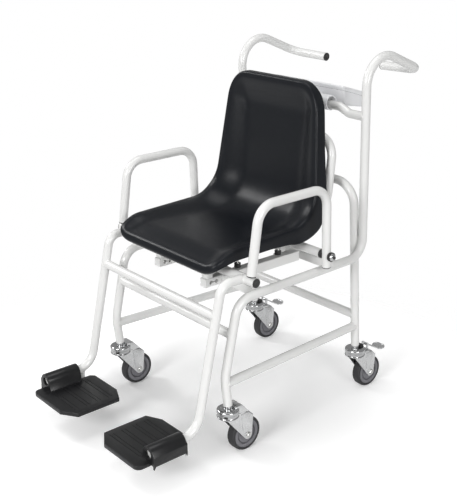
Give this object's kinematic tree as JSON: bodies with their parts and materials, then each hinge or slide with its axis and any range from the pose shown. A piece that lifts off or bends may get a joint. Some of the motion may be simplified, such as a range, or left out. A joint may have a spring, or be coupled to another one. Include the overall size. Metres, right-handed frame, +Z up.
{
  "type": "chair scale",
  "caption": "Wheeled weighing chair with a moulded seat on load cells, lift-up armrests, flip-up footplates, push handles and a display head behind the backrest.",
  "frame": {"origin": "on the floor at the middle of the whole chair's bounding box", "axes": "+Z up, the sitter faces -Y, +X is the sitter's left"},
  "size_m": [0.6384, 1.0492, 1.0466],
  "materials": {
    "white_frame": "glossy powder coat",
    "black_shell": "fine pebbled moulding",
    "black_plastic": "satin",
    "black_rubber": "matte",
    "zinc_steel": "bright zinc plate",
    "cell_aluminium": "milled",
    "castor_wheel": "matte grey wheel with a darker tread",
    "display_case": "satin",
    "display_screen": "clear window over a grey-green display",
    "display_key": "soft touch"
  },
  "bodies": {
    "frame": {"side_frame_left": "white_frame", "side_frame_right": "white_frame", "rear_arch": "white_frame", "lower_side_rail_left": "white_frame", "lower_side_rail_right": "white_frame", "lower_front_cross_tube": "white_frame", "lower_rear_cross_tube": "white_frame", "front_load_bar": "white_frame", "rear_load_bar": "white_frame", "display_cross_tube": "white_frame", "handle_cap_left": "black_plastic", "handle_cap_right": "black_plastic", "front_support_tube": "white_frame", "rear_support_tube": "white_frame", "seat_rail_left": "white_frame", "seat_rail_right": "white_frame", "back_loop": "white_frame", "footrest_hanger_left": "white_frame", "footrest_hanger_right": "white_frame", "hanger_cross_tube": "white_frame", "front_tube_cap_left": "black_plastic", "front_tube_cap_right": "black_plastic", "rear_tube_cap_left": "black_plastic", "rear_tube_cap_right": "black_plastic", "load_cell_front_left": "cell_aluminium", "load_cell_front_right": "cell_aluminium", "load_cell_rear_left": "cell_aluminium", "load_cell_rear_right": "cell_aluminium", "seat_shell": "black_shell", "seat_buffer_front_left": "black_rubber", "seat_buffer_front_right": "black_rubber", "seat_buffer_rear_left": "black_rubber", "seat_buffer_rear_right": "black_rubber"},
    "castor_front_left": {"castor_fork_front_left": "zinc_steel"},
    "wheel_front_left": {"castor_wheel_front_left": "castor_wheel"},
    "castor_front_right": {"castor_fork_front_right": "zinc_steel"},
    "wheel_front_right": {"castor_wheel_front_right": "castor_wheel"},
    "castor_rear_left": {"castor_fork_rear_left": "zinc_steel"},
    "wheel_rear_left": {"castor_wheel_rear_left": "castor_wheel"},
    "brake_left": {"brake_pedal_left": "zinc_steel"},
    "castor_rear_right": {"castor_fork_rear_right": "zinc_steel"},
    "wheel_rear_right": {"castor_wheel_rear_right": "castor_wheel"},
    "brake_right": {"brake_pedal_right": "zinc_steel"},
    "armrest_left": {"armrest_left": "white_frame", "armrest_plug_front_left": "black_plastic", "armrest_plug_rear_left": "black_plastic"},
    "armrest_knob_left": {"armrest_knob_left": "black_plastic"},
    "footplate_left": {"footplate_left": "black_shell"},
    "armrest_right": {"armrest_right": "white_frame", "armrest_plug_front_right": "black_plastic", "armrest_plug_rear_right": "black_plastic"},
    "armrest_knob_right": {"armrest_knob_right": "black_plastic"},
    "footplate_right": {"footplate_right": "black_shell"},
    "display_head": {"display_sleeve": "white_frame", "display_housing": "display_case", "display_screen": "display_screen"},
    "key_units": {"display_key_units": "display_key"},
    "key_hold": {"display_key_hold": "display_key"},
    "key_zero": {"display_key_zero": "display_key"},
    "key_on": {"display_key_on": "display_key"}
  },
  "joints": [
    {"name": "castor_front_left_swivel", "type": "hinge", "parent": "frame", "child": "castor_front_left", "pos_m": [0.2565, -0.21855, 0.14], "axis": [0, 0, 1], "continuous": true},
    {"name": "wheel_front_left_spin", "type": "hinge", "parent": "castor_front_left", "child": "wheel_front_left", "pos_m": [0.2565, -0.16135, 0.05], "axis": [1, 0, 0], "continuous": true},
    {"name": "castor_front_right_swivel", "type": "hinge", "parent": "frame", "child": "castor_front_right", "pos_m": [-0.2565, -0.21855, 0.14], "axis": [0, 0, 1], "continuous": true},
    {"name": "wheel_front_right_spin", "type": "hinge", "parent": "castor_front_right", "child": "wheel_front_right", "pos_m": [-0.2565, -0.16135, 0.05], "axis": [1, 0, 0], "continuous": true},
    {"name": "castor_rear_left_swivel", "type": "hinge", "parent": "frame", "child": "castor_rear_left", "pos_m": [0.2308, 0.32035, 0.14], "axis": [0, 0, 1], "continuous": true},
    {"name": "wheel_rear_left_spin", "type": "hinge", "parent": "castor_rear_left", "child": "wheel_rear_left", "pos_m": [0.2308, 0.37755, 0.05], "axis": [1, 0, 0], "continuous": true},
    {"name": "brake_left_press", "type": "hinge", "parent": "castor_rear_left", "child": "brake_left", "pos_m": [0.2308, 0.36635, 0.145], "axis": [-1, 0, 0], "range_deg": [0, 14]},
    {"name": "castor_rear_right_swivel", "type": "hinge", "parent": "frame", "child": "castor_rear_right", "pos_m": [-0.2308, 0.32035, 0.14], "axis": [0, 0, 1], "continuous": true},
    {"name": "wheel_rear_right_spin", "type": "hinge", "parent": "castor_rear_right", "child": "wheel_rear_right", "pos_m": [-0.2308, 0.37755, 0.05], "axis": [1, 0, 0], "continuous": true},
    {"name": "brake_right_press", "type": "hinge", "parent": "castor_rear_right", "child": "brake_right", "pos_m": [-0.2308, 0.36635, 0.145], "axis": [-1, 0, 0], "range_deg": [0, 14]},
    {"name": "armrest_left_lift", "type": "hinge", "parent": "frame", "child": "armrest_left", "pos_m": [0.2892, 0.11235, 0.5155], "axis": [-1, 0, 0], "range_deg": [0, 95]},
    {"name": "armrest_knob_left_turn", "type": "hinge", "parent": "frame", "child": "armrest_knob_left", "pos_m": [0.3022, 0.11235, 0.5155], "axis": [1, 0, 0], "continuous": true},
    {"name": "footplate_left_flip", "type": "hinge", "parent": "frame", "child": "footplate_left", "pos_m": [0.2555, -0.43215, 0.1108], "axis": [0, 1, 0], "range_deg": [0, 95]},
    {"name": "armrest_right_lift", "type": "hinge", "parent": "frame", "child": "armrest_right", "pos_m": [-0.2892, 0.11235, 0.5155], "axis": [-1, 0, 0], "range_deg": [0, 95]},
    {"name": "armrest_knob_right_turn", "type": "hinge", "parent": "frame", "child": "armrest_knob_right", "pos_m": [-0.3022, 0.11235, 0.5155], "axis": [-1, 0, 0], "continuous": true},
    {"name": "footplate_right_flip", "type": "hinge", "parent": "frame", "child": "footplate_right", "pos_m": [-0.2555, -0.43215, 0.1108], "axis": [0, -1, 0], "range_deg": [0, 95]},
    {"name": "display_tilt", "type": "hinge", "parent": "frame", "child": "display_head", "pos_m": [0, 0.28477, 0.888], "axis": [1, 0, 0], "range_deg": [-20, 20]},
    {"name": "key_units_press", "type": "slide", "parent": "display_head", "child": "key_units", "axis": [0, -0.286, -0.9582], "range_m": [0, 0.001], "stiffness_N_per_m": 400},
    {"name": "key_hold_press", "type": "slide", "parent": "display_head", "child": "key_hold", "axis": [0, -0.286, -0.9582], "range_m": [0, 0.001], "stiffness_N_per_m": 400},
    {"name": "key_zero_press", "type": "slide", "parent": "display_head", "child": "key_zero", "axis": [0, -0.286, -0.9582], "range_m": [0, 0.001], "stiffness_N_per_m": 400},
    {"name": "key_on_press", "type": "slide", "parent": "display_head", "child": "key_on", "axis": [0, -0.286, -0.9582], "range_m": [0, 0.001], "stiffness_N_per_m": 400}
  ]
}
